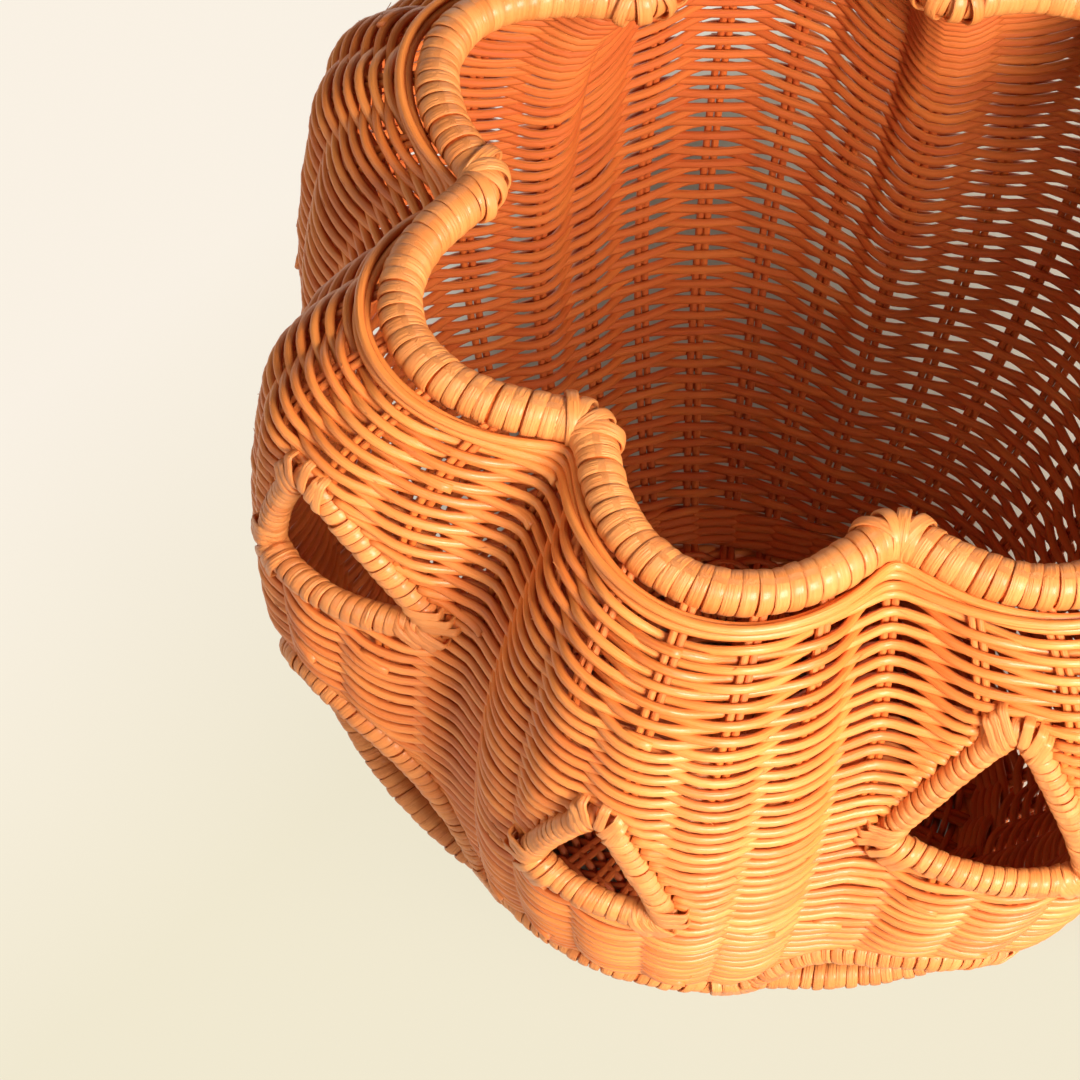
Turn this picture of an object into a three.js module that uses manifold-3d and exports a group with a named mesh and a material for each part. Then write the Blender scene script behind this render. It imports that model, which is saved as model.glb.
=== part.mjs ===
import * as THREE from "three";
import { mergeVertices } from "three/addons/utils/BufferGeometryUtils.js";
import Module from "manifold-3d";

const wasm = await Module();
wasm.setup();

// Sizes are in millimetres and angles in degrees. A turn is counted from the middle of the nose lobe, on -Y,
// towards +X, and a drop is the depth below the top edge of the wall's outer face.
const lobes = 7;
const stakesPerLobe = 6;
const rimFacetsPerLobe = 8;

const wallHeight = 248;
const rimLobeRadius = 125.2;
const rimValleyRadius = 101.2;
const bellyLobeRadius = 160;
const bellyLobeDrop = 36;
const bellyValleyRadius = 132;
const bellyValleyDrop = 85;
const baseRadius = 74;
const lowerCurve = 2.5;
const valleySoftness = 0.12;

const rimThickness = 12;
const rimCoreThickness = 7.4;
const rimSlotEase = 0.8;
const frameThickness = 7.4;
const frameRodThickness = 3.6;
const frameSlotEase = 1.1;

const weaveThickness = 2.1;
const stakeWidth = 5;
const stakeFaceWidth = 2.4;
const stakeThickness = 2.4;
const clearance = 0.3;
const stakeEase = 0.6;
const walingWidth = 10;
const walingGap = 1;
const weaveRings = 6;
const ringCrowding = 1.5;

const footThickness = 9;
const footInset = 5;
const wallEndRun = 12;
const stakeEndRadius = 48;
const spokeCount = 4;
const spokeThickness = 5;
const spokeFlatness = 0.48;
const spokePitch = 4.8;
const spokeReach = 44;

// The face, as corners of each opening along the middle of its edging. It is laid out on the wall itself: a
// corner is a turn, and a share of the wall's height down from its top edge.
const leftEye = { apex: [-45.7, 0.135], right: [-28.8, 0.284], left: [-51.5, 0.336] };
const rightEye = { apex: [37.9, 0.112], right: [50.5, 0.412], left: [27.3, 0.378] };
const nose = { apex: [-2.6, 0.264], right: [6.7, 0.47], left: [-11.2, 0.472] };
const cornerCut = 7;
const sideBulge = 1.3;
const mouth = {
  tips: [[-57, 0.66], [-22, 0.81], [17, 0.805], [53.5, 0.745]],
  archTops: [0.515, 0.745, 0.645],
  tipWidth: 6.7,
  tipDepth: 7,
  lowerRight: [62, 0.97],
  lowerLeft: [-60, 0.93],
};
const smoothSteps = 3;
const archSteps = 6;
const lowerLipSteps = 10;

// How finely round sections and cuts are faceted.
const rimSides = 6;
const rimSpans = { outer: 6, inner: 4 };
const rodSides = 5;
const frameSpans = { outer: 5, inner: 4 };
const cutSides = 6;
const cutSliceTurn = 3;
const cutReach = 20;

const radians = THREE.MathUtils.degToRad;
const wallMiddle = weaveThickness + stakeEase + stakeThickness / 2;
const wallDepth = 2 * wallMiddle;
const quarterTurn = Math.PI / 2;
const stakeCount = lobes * stakesPerLobe;
const rimFacets = lobes * rimFacetsPerLobe;

// How far a turn is from a valley, 0, to the middle of a lobe, 1. The softness rounds the valley's crease.
function lobeShare(turn) {
  const side = Math.cos((radians(turn) * lobes) / 2);
  const full = Math.hypot(1, valleySoftness) - valleySoftness;
  return (Math.hypot(side, valleySoftness) - valleySoftness) / full;
}

function profileRadius(drop, rimRadius, bellyRadius, bellyDrop) {
  const above = THREE.MathUtils.clamp((bellyDrop - drop) / bellyDrop, 0, 1);
  const below = THREE.MathUtils.clamp((drop - bellyDrop) / (wallHeight - bellyDrop), 0, 1);
  const shoulder = (bellyRadius - rimRadius) * above ** 2;
  return bellyRadius - shoulder - (bellyRadius - baseRadius) * below ** lowerCurve;
}

function around(radius, turn, height) {
  const angle = radians(turn);
  return new THREE.Vector3(radius * Math.sin(angle), -radius * Math.cos(angle), height);
}

function wallPoint(turn, drop) {
  const lobe = profileRadius(drop, rimLobeRadius, bellyLobeRadius, bellyLobeDrop);
  const valley = profileRadius(drop, rimValleyRadius, bellyValleyRadius, bellyValleyDrop);
  return around(valley + (lobe - valley) * lobeShare(turn), turn, wallHeight - drop);
}

function wallDirections(turn, drop) {
  const step = 0.05;
  const level = Math.max(drop, step);
  const along = wallPoint(turn + step, level).sub(wallPoint(turn - step, level)).normalize();
  const down = wallPoint(turn, level + step).sub(wallPoint(turn, level - step)).normalize();
  const out = new THREE.Vector3().crossVectors(down, along).normalize();
  return { along, down, out };
}

// The point of the wall that lies under its outer face by a depth.
function underWall(turn, drop, depth) {
  return wallPoint(turn, drop).addScaledVector(wallDirections(turn, drop).out, -depth);
}

// The lengths down the wall at one turn, measured at even drops.
function runLengths(turn) {
  const steps = 120;
  const lengths = [0];
  for (let i = 1; i <= steps; i++) {
    const upper = wallPoint(turn, (wallHeight * (i - 1)) / steps);
    const lower = wallPoint(turn, (wallHeight * i) / steps);
    lengths.push(lengths[i - 1] + lower.distanceTo(upper));
  }
  return lengths;
}

const valleyRun = runLengths(180 / lobes).at(-1);
const shareOf = (run) => run / valleyRun;

// The drop at a share of the whole way down the wall.
function dropAt(turn, share) {
  const lengths = runLengths(turn);
  const wanted = lengths.at(-1) * share;
  const i = Math.max(1, lengths.findIndex((length) => length >= wanted));
  const part = (wanted - lengths[i - 1]) / (lengths[i] - lengths[i - 1]);
  return (wallHeight * (i - 1 + part)) / (lengths.length - 1);
}

// A closed geometry from points and triangles, turned so that its faces look outwards.
function closedGeometry(points, triangles) {
  let volume = 0;
  const crossed = new THREE.Vector3();
  for (let i = 0; i < triangles.length; i += 3) {
    const [a, b, c] = [0, 1, 2].map((j) => points[triangles[i + j]]);
    volume += a.dot(crossed.crossVectors(b, c));
  }
  const index = volume < 0 ? [...triangles].reverse() : triangles;
  const geometry = new THREE.BufferGeometry().setFromPoints(points);
  geometry.setIndex(index);
  return geometry;
}

// Joins rings of equal size into a solid, closed round on itself or capped at its two ends.
function loft(rings, isLoop) {
  const size = rings[0].length;
  const triangles = [];
  const spans = isLoop ? rings.length : rings.length - 1;
  for (let i = 0; i < spans; i++) {
    const here = i * size;
    const next = ((i + 1) % rings.length) * size;
    for (let j = 0; j < size; j++) {
      const k = (j + 1) % size;
      triangles.push(here + j, here + k, next + k, here + j, next + k, next + j);
    }
  }
  if (!isLoop) {
    const last = (rings.length - 1) * size;
    for (let j = 1; j < size - 1; j++) {
      triangles.push(0, j + 1, j, last, last + j, last + j + 1);
    }
  }
  return closedGeometry(rings.flat(), triangles);
}

function solidOf(geometry) {
  const bare = geometry.clone();
  bare.deleteAttribute("normal");
  bare.deleteAttribute("uv");
  const merged = mergeVertices(bare, 1e-4);
  return new wasm.Manifold(new wasm.Mesh({
    numProp: 3,
    vertProperties: merged.attributes.position.array,
    triVerts: new Uint32Array(merged.index.array),
  }));
}

function geometryOf(solid) {
  const mesh = solid.getMesh();
  const geometry = new THREE.BufferGeometry();
  geometry.setAttribute("position", new THREE.BufferAttribute(mesh.vertProperties, 3));
  geometry.setIndex(new THREE.BufferAttribute(mesh.triVerts, 1));
  return geometry;
}

function roundSection(radius, sides) {
  return Array.from({ length: sides }, (unused, i) => {
    const angle = ((i + 0.5) * 2 * Math.PI) / sides;
    return [radius * Math.cos(angle), radius * Math.sin(angle)];
  });
}

// A wrapped layer's section: a ring with a slot where its first axis points, and room inside for a core.
// Grown, it is the space that its neighbours keep out of.
function wrapSection(radius, coreRadius, slotHalf, spans, growth) {
  const arc = (size, steps) => {
    const start = Math.asin((slotHalf - growth) / size);
    const sweep = 2 * Math.PI - 2 * start;
    return Array.from({ length: steps + 1 }, (unused, i) => {
      const angle = start + (sweep * i) / steps;
      return [size * Math.cos(angle), size * Math.sin(angle)];
    });
  };
  const widest = (coreRadius + clearance) / Math.cos(Math.PI / spans.inner);
  const halfSpan = (Math.PI - Math.asin(slotHalf / widest)) / spans.inner;
  const innerRadius = (coreRadius + clearance) / Math.cos(halfSpan);
  return [...arc(radius + growth, spans.outer), ...arc(innerRadius - growth, spans.inner).reverse()];
}

// Sweeps a section round a closed path, with mitred bends. Each face says where its first axis points.
function sweepLoop(path, faces, section) {
  const rings = path.map((point, i) => {
    const arriving = point.clone().sub(path.at(i - 1)).normalize();
    const leaving = path[(i + 1) % path.length].clone().sub(point).normalize();
    const ahead = arriving.clone().add(leaving).normalize();
    const bend = leaving.clone().sub(arriving).normalize();
    const mitre = 1 / ahead.dot(leaving);
    const face = faces[i].clone().addScaledVector(ahead, -faces[i].dot(ahead)).normalize();
    const across = new THREE.Vector3().crossVectors(ahead, face);
    return section.map(([x, y]) => {
      const offset = face.clone().multiplyScalar(x).addScaledVector(across, y);
      offset.addScaledVector(bend, offset.dot(bend) * (mitre - 1));
      return offset.add(point);
    });
  });
  return loft(rings, true);
}

// A band of the wall's outer layer, between two shares of the way down.
function wallBand(shares) {
  const columns = Array.from({ length: stakeCount }, (unused, i) => {
    const turn = i * stakePitch;
    const drops = shares.map((share) => dropAt(turn, share));
    const outer = drops.map((drop) => wallPoint(turn, drop));
    const inner = drops.map((drop) => underWall(turn, drop, weaveThickness));
    return [...outer, ...inner.reverse()];
  });
  return loft(columns, true);
}

const walingStart = shareOf(rimThickness / 2 + walingGap);
const walingEnd = walingStart + shareOf(walingWidth);
const wallEnd = 1 - shareOf(wallEndRun);
const upsetStart = wallEnd - shareOf(walingWidth);
const weaveStart = walingEnd + shareOf(clearance);
const weaveEnd = upsetStart - shareOf(clearance);
const weaveShares = Array.from({ length: weaveRings + 1 }, (unused, i) => {
  return weaveStart + (weaveEnd - weaveStart) * (i / weaveRings) ** ringCrowding;
});

// Where the stakes stand: on the middle of the wall at every ring of the weave, straight from ring to ring.
const stakePitch = 360 / stakeCount;
const columns = Array.from({ length: stakeCount }, (unused, i) => {
  const turn = i * stakePitch;
  return [...weaveShares, wallEnd].map((share) => underWall(turn, dropAt(turn, share), wallMiddle));
});

// The place between two stakes, level with a point of the wall's middle.
function betweenStakes(point) {
  const turn = THREE.MathUtils.radToDeg(Math.atan2(point.x, -point.y));
  const place = (turn + 360) / stakePitch;
  const [left, right] = [Math.floor(place), Math.floor(place) + 1].map((number) => {
    const column = columns[number % stakeCount];
    const lower = column.findIndex((ring, i) => i > 0 && ring.z <= point.z);
    const [high, low] = [column[lower - 1], column[lower]];
    return high.clone().lerp(low, (high.z - point.z) / (high.z - low.z));
  });
  return left.lerp(right, place % 1);
}

// The rim's centre line lies on the middle of the wall, and its slot faces down the wall.
const rimTurns = Array.from({ length: rimFacets }, (unused, i) => ((i + 0.5) * 360) / rimFacets);
const rimPath = rimTurns.map((turn) => underWall(turn, 0, wallMiddle));
const rimFaces = rimTurns.map((turn) => wallDirections(turn, 0).down);
const rimCoreRadius = rimCoreThickness / 2;
const rimSlotHalf = stakeThickness / 2 + rimSlotEase;
const rimWrap = (growth) => wrapSection(rimThickness / 2, rimCoreRadius, rimSlotHalf, rimSpans, growth);
const rimSeat = solidOf(sweepLoop(
  rimPath,
  rimFaces,
  roundSection((rimCoreRadius + clearance) / Math.cos(Math.PI / rimSides), rimSides),
)).add(solidOf(sweepLoop(rimPath, rimFaces, rimWrap(clearance))));

// The face is drawn flat, in millimetres, and then laid back on the wall as turns and drops.
const turnLength = radians(1) * bellyLobeRadius;
const flat = ([turn, part]) => new THREE.Vector2(turn * turnLength, part * wallHeight);
const unflat = (point) => new THREE.Vector2(point.x / turnLength, point.y);

// An opening with three round corners and slightly swelling sides, clockwise from outside.
function triangleOutline(corners) {
  const points = [corners.left, corners.apex, corners.right].map(flat);
  const outline = new THREE.Path();
  points.forEach((corner, i) => {
    const next = points[(i + 1) % 3];
    const after = points[(i + 2) % 3];
    const way = next.clone().sub(corner).normalize();
    const turned = after.clone().sub(next).normalize();
    const start = corner.clone().addScaledVector(way, cornerCut);
    const end = next.clone().addScaledVector(way, -cornerCut);
    const beyond = next.clone().addScaledVector(turned, cornerCut);
    const outward = new THREE.Vector2(way.y, -way.x);
    const swell = start.clone().lerp(end, 0.5).addScaledVector(outward, 2 * sideBulge);
    if (i === 0) {
      outline.moveTo(start.x, start.y);
    }
    outline.quadraticCurveTo(swell.x, swell.y, end.x, end.y);
    outline.quadraticCurveTo(next.x, next.y, beyond.x, beyond.y);
  });
  return outline.getPoints(smoothSteps).slice(0, -1).map(unflat);
}

// The mouth's upper lip is three arches that meet in two rounded teeth, over one long lower lip.
// A cubic arch passes its top drop halfway along when its two control points lie at the lift.
function mouthOutline() {
  const points = [];
  const add = (curve, steps) => points.push(...curve.getPoints(steps).slice(0, -1));
  const tips = mouth.tips.map(flat);
  const last = tips.length - 1;
  const beside = (tip, side) => tip.clone().add(new THREE.Vector2(side * mouth.tipWidth, -mouth.tipDepth));
  const below = (tip) => tip.clone().add(new THREE.Vector2(0, mouth.tipDepth));
  const lowerStart = below(tips[last]);
  const lowerEnd = below(tips[0]);
  for (let i = 0; i < last; i++) {
    const start = beside(tips[i], 1);
    const end = beside(tips[i + 1], -1);
    const lift = (8 * mouth.archTops[i] * wallHeight - start.y - end.y) / 6;
    const lean = (end.x - start.x) / 12;
    const startLift = new THREE.Vector2(start.x + lean, lift);
    const endLift = new THREE.Vector2(end.x - lean, lift);
    add(new THREE.CubicBezierCurve(start, startLift, endLift, end), archSteps);
    const beyond = i + 1 === last ? lowerStart : beside(tips[i + 1], 1);
    add(new THREE.QuadraticBezierCurve(end, tips[i + 1], beyond), smoothSteps);
  }
  const [lowerRight, lowerLeft] = [mouth.lowerRight, mouth.lowerLeft].map(flat);
  add(new THREE.CubicBezierCurve(lowerStart, lowerRight, lowerLeft, lowerEnd), lowerLipSteps);
  add(new THREE.QuadraticBezierCurve(lowerEnd, tips[0], beside(tips[0], 1)), smoothSteps);
  return points.map(unflat);
}

// The space inside an outline, cut through the wall in upright slices.
function openingBlock(outline) {
  const turns = outline.map((point) => point.x);
  const first = Math.min(...turns);
  const width = Math.max(...turns) - first;
  const slices = Math.ceil(width / cutSliceTurn);
  const endPart = 0.1;
  const rings = [];
  for (let i = 0; i <= slices; i++) {
    const turn = first + (width * (i + endPart)) / (slices + 2 * endPart);
    const crossings = outline.flatMap((point, j) => {
      const next = outline[(j + 1) % outline.length];
      const part = (turn - point.x) / (next.x - point.x);
      return part >= 0 && part < 1 ? [point.y + (next.y - point.y) * part] : [];
    });
    const top = Math.min(...crossings);
    const bottom = Math.max(...crossings);
    rings.push([
      underWall(turn, top, -cutReach),
      underWall(turn, bottom, -cutReach),
      underWall(turn, bottom, wallDepth + cutReach),
      underWall(turn, top, wallDepth + cutReach),
    ]);
  }
  return solidOf(loft(rings, false));
}

const rodRadius = frameRodThickness / 2;
const frameSlotHalf = stakeThickness / 2 + frameSlotEase;
const frameWrap = (growth) => wrapSection(frameThickness / 2, rodRadius, frameSlotHalf, frameSpans, growth);

// One opening of the face: its edging's rod and wrap, and what they cut from the weave and from the stakes.
function faceFrame(name, outline) {
  const path = outline.map((point) => betweenStakes(underWall(point.x, point.y, wallMiddle)));
  const faces = outline.map((point, i) => {
    const ahead = path[(i + 1) % path.length].clone().sub(path.at(i - 1));
    return new THREE.Vector3().crossVectors(wallDirections(point.x, point.y).out, ahead).normalize();
  });
  const block = openingBlock(outline);
  const cutGrowth = 1 / Math.cos(Math.PI / cutSides);
  const tube = (radius) => solidOf(sweepLoop(path, faces, roundSection(radius * cutGrowth, cutSides)));
  const nearWrap = solidOf(sweepLoop(path, faces, frameWrap(clearance)));
  return {
    name,
    rod: solidOf(sweepLoop(path, faces, roundSection(rodRadius, rodSides))),
    wrap: sweepLoop(path, faces, frameWrap(0)),
    weaveCut: tube(frameThickness / 2 + clearance).add(block),
    stakeCut: tube(rodRadius + clearance).add(block).add(nearWrap),
    seatCut: block.add(nearWrap),
  };
}

const frames = [
  faceFrame("left_eye", triangleOutline(leftEye)),
  faceFrame("right_eye", triangleOutline(rightEye)),
  faceFrame("nose", triangleOutline(nose)),
  faceFrame("mouth", mouthOutline()),
];

// The foot: the ring that the basket stands on, just inside the wall's lower edge.
const wallEndPoint = (turn) => underWall(turn, dropAt(turn, wallEnd), wallMiddle);
const wallEndRadius = Math.hypot(wallEndPoint(0).x, wallEndPoint(0).y);
const footRadius = wallEndRadius - footInset;
const footSides = 8;
const baseTop = footThickness;

function footRing() {
  const radius = footThickness / 2 / Math.cos(Math.PI / footSides);
  const section = roundSection(radius, footSides).map(([x, y]) => {
    return new THREE.Vector2(footRadius + x, footThickness / 2 + y);
  });
  const ring = new THREE.LatheGeometry([...section, section[0]], stakeCount);
  return ring.rotateX(quarterTurn);
}

// A stake's section at one point of its path: a pair of canes, its outer side narrower than its inner one.
function stakeRing(centre, out, along) {
  const half = stakeThickness / 2;
  const corner = (x, y) => centre.clone().addScaledVector(along, x).addScaledVector(out, y);
  const face = stakeFaceWidth / 2;
  const back = stakeWidth / 2;
  return [corner(-face, half), corner(face, half), corner(back, -half), corner(-back, -half)];
}

// A stake hangs from the rim's core, follows the wall's middle, crosses the foot and lies on the base.
function stake(number) {
  const turn = number * stakePitch;
  const rimWall = wallDirections(turn, 0);
  const start = underWall(turn, 0, wallMiddle).addScaledVector(rimWall.down, rimCoreRadius);
  const rings = [stakeRing(start, rimWall.out, rimWall.along)];
  for (const point of columns[number]) {
    const wall = wallDirections(turn, wallHeight - point.z);
    rings.push(stakeRing(point, wall.out, wall.along));
  }
  const overFoot = baseTop + clearance + stakeThickness / 2;
  const along = rimWall.along;
  const level = new THREE.Vector3(0, 0, -1);
  rings.push(stakeRing(around(footRadius, turn, overFoot), level, along));
  rings.push(stakeRing(around(stakeEndRadius, turn, overFoot), level, along));
  return solidOf(loft(rings, false)).subtract(rimSeat);
}

// Splits a stake into its lengths, from the top down. An end shorter than the stake's width isn't left in.
const shortestLength = stakeWidth * stakeWidth * stakeThickness;
function lengthsOf(solid) {
  const bodies = solid.decompose().filter((body) => body.volume() > shortestLength);
  return bodies.sort((a, b) => b.boundingBox().max[2] - a.boundingBox().max[2]);
}

function largestOf(solid) {
  return solid.decompose().sort((a, b) => b.volume() - a.volume())[0];
}

// The space under a level.
function spaceBelow(level) {
  const size = 4 * wallHeight;
  return solidOf(new THREE.BoxGeometry(size, size, size).translate(0, 0, level - size / 2));
}

// Cuts a stake at the openings that it meets. What is above each one goes through the slot of its binding,
// and is one solid with its rod.
function cutStake(whole) {
  const met = frames.filter((frame) => lengthsOf(whole.subtract(frame.stakeCut)).length > 1);
  const topOf = (solid) => solid.boundingBox().max[2];
  met.sort((a, b) => topOf(b.weaveCut.intersect(whole)) - topOf(a.weaveCut.intersect(whole)));
  const lengths = lengthsOf(frames.reduce((rest, frame) => rest.subtract(frame.stakeCut), whole));
  met.forEach((carrier, place) => {
    const others = frames.filter((frame) => frame !== carrier);
    const below = spaceBelow(topOf(lengths[place + 1]) + 4 * clearance);
    const reaching = whole.subtract(carrier.seatCut).subtract(below);
    const parts = others.reduce((rest, frame) => rest.subtract(frame.stakeCut), reaching).decompose();
    const isCarried = (part) => part.intersect(lengths[place]).volume() > shortestLength;
    carrier.rod = carrier.rod.add(parts.find(isCarried));
  });
  return lengths.at(-1);
}

const stakes = Array.from({ length: stakeCount }, (unused, i) => {
  return { number: i + 1, solid: cutStake(stake(i)) };
});

// The base's sticks lie side by side in two groups, and one group goes through a slit in the other.
const spokeHeight = baseTop + clearance + spokeThickness / 2;
const spokeGroupWidth = spokePitch * (spokeCount - 1) + spokeThickness;

function spokeGroup(flatness) {
  let group = null;
  for (let i = 0; i < spokeCount; i++) {
    const stick = new THREE.CylinderGeometry(spokeThickness / 2, spokeThickness / 2, 2 * spokeReach, 8);
    stick.scale(1, 1, flatness);
    stick.translate(spokePitch * (i - (spokeCount - 1) / 2), 0, spokeHeight);
    const solid = solidOf(stick);
    group = group ? group.add(solid) : solid;
  }
  return group;
}

function slitSpokes() {
  const slit = new THREE.BoxGeometry(
    2 * spokeGroupWidth,
    spokeGroupWidth + 2 * clearance,
    spokeThickness * spokeFlatness + 2 * clearance,
  );
  slit.translate(0, 0, spokeHeight);
  return spokeGroup(1).subtract(solidOf(slit));
}

function baseDisc() {
  const radius = footRadius - footThickness / 2 - clearance;
  const disc = new THREE.CylinderGeometry(radius, radius, weaveThickness, stakeCount);
  return disc.rotateX(quarterTurn).translate(0, 0, baseTop - weaveThickness / 2);
}

function cane(color, roughness) {
  return new THREE.MeshStandardMaterial({ color, roughness, metalness: 0 });
}

const basket = new THREE.Group();

function addPiece(name, geometry, material) {
  const mesh = new THREE.Mesh(geometry, material);
  mesh.name = name;
  basket.add(mesh);
  return mesh;
}

const wholeWeave = solidOf(wallBand(weaveShares));
const sideWeave = largestOf(frames.reduce((rest, frame) => rest.subtract(frame.weaveCut), wholeWeave));

const rimCore = sweepLoop(rimPath, rimFaces, roundSection(rimCoreRadius, rimSides));

addPiece("rim_core", rimCore, cane(0xc98a4b, 0.7));
addPiece("rim_binding", sweepLoop(rimPath, rimFaces, rimWrap(0)), cane(0xe88d3c, 0.4));
addPiece("top_waling", wallBand([walingStart, walingEnd]), cane(0xe08337, 0.5));
addPiece("side_weave", geometryOf(sideWeave), cane(0xde8135, 0.5));
addPiece("upset_waling", wallBand([upsetStart, wallEnd]), cane(0xd97a30, 0.5));
for (const { number, solid } of stakes) {
  addPiece("stake_" + String(number).padStart(2, "0"), geometryOf(solid), cane(0xd4762e, 0.6));
}
for (const frame of frames) {
  addPiece(frame.name + "_rod", geometryOf(largestOf(frame.rod)), cane(0xc98a4b, 0.7));
  addPiece(frame.name + "_binding", frame.wrap, cane(0xe88d3c, 0.4));
}
addPiece("foot_border", footRing(), cane(0xd97a30, 0.5));
addPiece("base_weave", baseDisc(), cane(0xb55a20, 0.6));
addPiece("base_spokes_slit", geometryOf(slitSpokes()), cane(0xc46a28, 0.6));
const through = addPiece("base_spokes_through", geometryOf(spokeGroup(spokeFlatness)), cane(0xc46a28, 0.6));
through.rotation.z = quarterTurn;

// The lobes are odd in number, so the whole moves to stand in the middle of its own space.
const box = new THREE.Box3().setFromObject(basket);
basket.position.y = -(box.min.y + box.max.y) / 2;

export default basket;
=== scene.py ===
import math

import bpy
import numpy as np
from mathutils import Matrix, Vector


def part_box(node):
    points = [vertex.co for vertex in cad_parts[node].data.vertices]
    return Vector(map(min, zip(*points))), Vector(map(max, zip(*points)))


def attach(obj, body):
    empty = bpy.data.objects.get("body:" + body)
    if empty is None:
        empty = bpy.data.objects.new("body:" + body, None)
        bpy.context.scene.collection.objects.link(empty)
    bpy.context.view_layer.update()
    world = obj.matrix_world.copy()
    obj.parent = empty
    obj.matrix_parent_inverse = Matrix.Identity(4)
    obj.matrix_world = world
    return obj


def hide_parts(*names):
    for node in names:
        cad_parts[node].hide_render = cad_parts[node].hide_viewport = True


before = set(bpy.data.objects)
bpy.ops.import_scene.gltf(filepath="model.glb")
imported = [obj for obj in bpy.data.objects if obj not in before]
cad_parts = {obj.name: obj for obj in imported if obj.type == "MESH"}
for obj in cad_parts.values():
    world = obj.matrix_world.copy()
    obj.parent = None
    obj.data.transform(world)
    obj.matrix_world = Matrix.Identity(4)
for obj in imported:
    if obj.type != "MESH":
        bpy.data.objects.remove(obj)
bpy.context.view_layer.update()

# A pumpkin basket woven from round cane. Lengths are in metres and angles in degrees.
# A turn is counted from the middle of the nose lobe, on -Y, towards +X.
# A drop is the depth below the wall's top. A run is the length down the wall from its top edge, at a valley.
bpy.ops.object.select_all(action="DESELECT")
dice = np.random.default_rng(7)

footLow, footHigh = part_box("foot_border")
axisPoint = np.array([(footLow.x + footHigh.x) / 2, (footLow.y + footHigh.y) / 2, 0.0])

wall = {
    "lobes": 7,
    "stakesPerLobe": 6,
    "height": 0.248,
    "rimLobe": 0.1252,
    "rimValley": 0.1012,
    "bellyLobe": 0.160,
    "bellyLobeDrop": 0.036,
    "bellyValley": 0.132,
    "bellyValleyDrop": 0.085,
    "base": 0.074,
    "lowerCurve": 2.5,
    "valleySoftness": 0.12,
    "middle": 0.0039,       # depth of the stakes' centre line under the outer face
}
stakeCount = wall["lobes"] * wall["stakesPerLobe"]
stakePitch = 360 / stakeCount


def lobeShare(turn):
    soft = wall["valleySoftness"]
    side = np.cos(np.radians(turn) * wall["lobes"] / 2)
    return (np.hypot(side, soft) - soft) / (math.hypot(1, soft) - soft)


def profileRadius(drop, rim, belly, bellyDrop):
    above = np.clip((bellyDrop - drop) / bellyDrop, 0, 1)
    below = np.clip((drop - bellyDrop) / (wall["height"] - bellyDrop), 0, 1)
    return belly - (belly - rim) * above ** 2 - (belly - wall["base"]) * below ** wall["lowerCurve"]


def around(radius, turn, height):
    radius, angle, height = np.broadcast_arrays(radius, np.radians(turn), height)
    return np.stack([radius * np.sin(angle), -radius * np.cos(angle), height], -1) + axisPoint


def wallPoint(turn, drop):
    turn, drop = np.broadcast_arrays(np.asarray(turn, float), np.asarray(drop, float))
    lobe = profileRadius(drop, wall["rimLobe"], wall["bellyLobe"], wall["bellyLobeDrop"])
    valley = profileRadius(drop, wall["rimValley"], wall["bellyValley"], wall["bellyValleyDrop"])
    return around(valley + (lobe - valley) * lobeShare(turn), turn, wall["height"] - drop)


def unit(vectors):
    return vectors / np.linalg.norm(vectors, axis=-1, keepdims=True)


def smoothStep(values, low, high):
    share = np.clip((values - low) / (high - low), 0, 1)
    return share * share * (3 - 2 * share)


# The wall's directions at a place: along it, down it and out of it.
def wallDirections(turn, drop):
    turnStep, dropStep = 0.05, 0.00005
    drop = np.maximum(drop, dropStep)
    along = unit(wallPoint(turn + turnStep, drop) - wallPoint(turn - turnStep, drop))
    down = unit(wallPoint(turn, drop + dropStep) - wallPoint(turn, drop - dropStep))
    return along, down, unit(np.cross(down, along))


# The point under the wall's outer face by a depth, and the wall's outward direction there.
def underWall(turn, drop, depth):
    turn, drop, depth = np.broadcast_arrays(np.asarray(turn, float), drop, depth)
    out = wallDirections(turn, drop)[2]
    return wallPoint(turn, drop) - depth[..., None] * out, out


# Drops at even shares of the way down the wall, tabled over half a lobe's turns.
tableTurns = np.linspace(0, 180 / wall["lobes"], 61)
tableDrops = np.linspace(0, wall["height"], 401)
tableShares = np.linspace(0, 1, 401)
tablePoints = wallPoint(tableTurns[:, None], tableDrops[None, :])
tableSteps = np.linalg.norm(np.diff(tablePoints, axis=1), axis=-1)
tableRuns = np.concatenate([np.zeros((len(tableTurns), 1)), np.cumsum(tableSteps, 1)], 1)
valleyRun = tableRuns[-1, -1]
dropTable = np.array([np.interp(tableShares, runs / runs[-1], tableDrops) for runs in tableRuns])


def dropAt(turn, share):
    turn, share = np.broadcast_arrays(np.asarray(turn, float), share)
    lobePitch = 360 / wall["lobes"]
    near = np.abs((turn + lobePitch / 2) % lobePitch - lobePitch / 2)
    row = np.clip(near / tableTurns[1], 0, len(tableTurns) - 1.001)
    column = np.clip(share * (len(tableShares) - 1), 0, len(tableShares) - 1.001)
    i, j = row.astype(int), column.astype(int)
    u, v = row - i, column - j
    upper = dropTable[i, j] * (1 - v) + dropTable[i, j + 1] * v
    lower = dropTable[i + 1, j] * (1 - v) + dropTable[i + 1, j + 1] * v
    return upper * (1 - u) + lower * u


# The cane of the wall has painted shade on the side that faces into the basket: it is coloured darker there,
# and is also duller.
innerSide = {
    "paintedShade": (0.66, 0.45, 0.22),     # what is left of each colour there
    "dulling": 0.3,
    "turnOver": (-0.45, 0.5),        # where round a strand the painted shade ends, from -1 inside to 1 outside
}


# Strands: each is a section swept along a path. A store gathers the strands of one piece.
def newStore(isWall=False):
    return {"points": [], "faces": [], "caps": [], "grain": [], "tone": [], "shade": [],
            "count": 0, "isWall": isWall}


def roundSection(radius, sides):
    angles = 2 * np.pi * np.arange(sides) / sides
    return radius * np.stack([np.cos(angles), np.sin(angles)], 1)


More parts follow.
